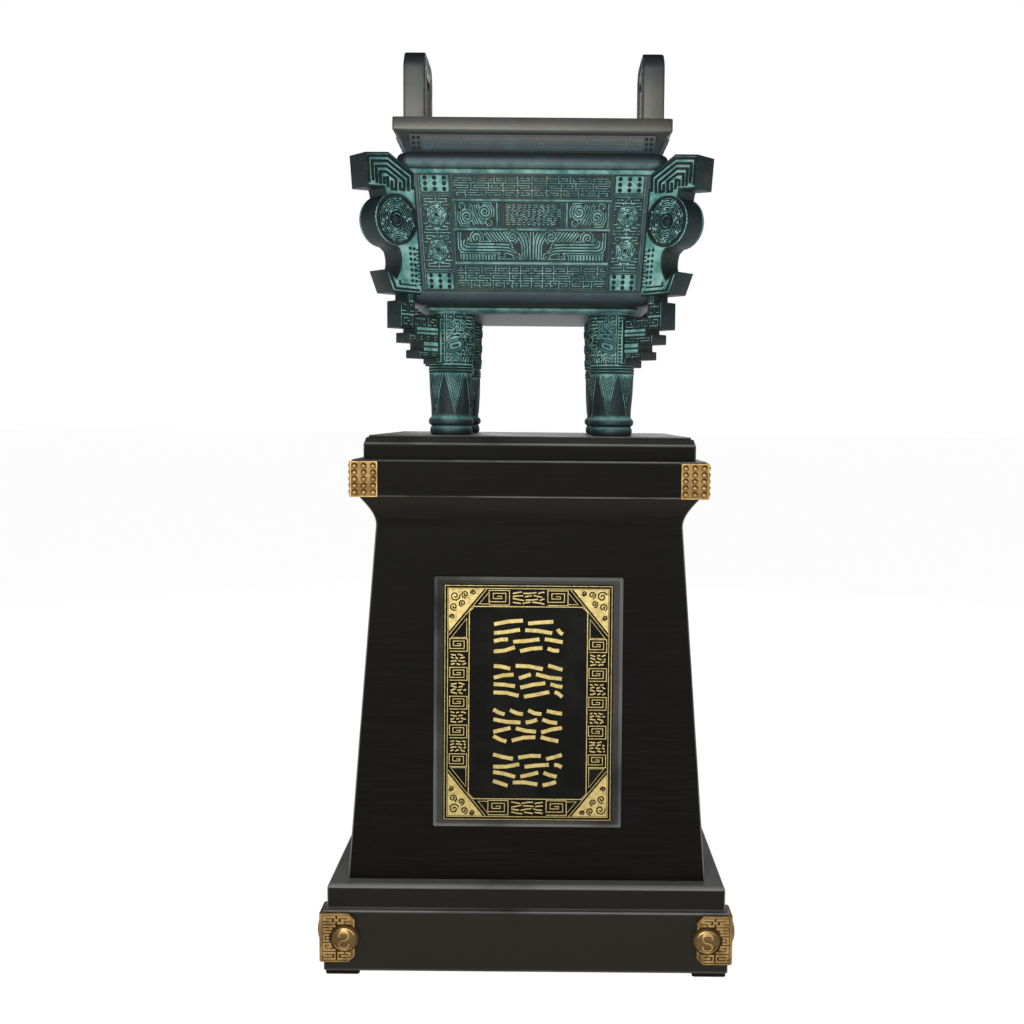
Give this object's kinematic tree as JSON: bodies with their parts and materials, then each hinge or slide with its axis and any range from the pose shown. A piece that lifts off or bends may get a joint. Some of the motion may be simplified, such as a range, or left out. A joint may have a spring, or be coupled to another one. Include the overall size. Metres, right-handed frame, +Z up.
{
  "type": "bronze ding vessel on plinth",
  "caption": "Antique-finished rectangular bronze ding with flanged corners, upright ears and round legs, on a tall black lacquered plinth with brass corners.",
  "frame": {"origin": "on the floor under the middle of the plinth, which is the middle of the lowest faces", "axes": "+Z up, front with the plaque towards -Y, +X to the right seen from the front"},
  "size_m": [0.752, 0.652, 1.68],
  "materials": {
    "bronze": "cast bronze, teal-green patina in the ground, dark worn tops",
    "lacquer": "black lacquer over wood with fine level grain",
    "brass": "antiqued pressed brass",
    "board": "black lacquer, satin",
    "plaque": "black plate with gold lines"
  },
  "bodies": {
    "root": {"ding_vessel": "bronze", "plinth_cap": "lacquer", "plinth_slab": "lacquer", "plinth_neck": "lacquer", "plinth_shaft": "lacquer", "plinth_step": "lacquer", "plinth_base": "lacquer", "plinth_foot_front_left": "lacquer", "plinth_foot_front_right": "lacquer", "plinth_foot_back_left": "lacquer", "plinth_foot_back_right": "lacquer", "brass_studded_corner_front_left": "brass", "brass_studded_corner_front_right": "brass", "brass_studded_corner_back_left": "brass", "brass_studded_corner_back_right": "brass", "brass_boss_corner_front_left": "brass", "brass_boss_corner_front_right": "brass", "brass_boss_corner_back_left": "brass", "brass_boss_corner_back_right": "brass", "plaque_board": "board", "plaque_plate": "plaque"}
  },
  "joints": []
}
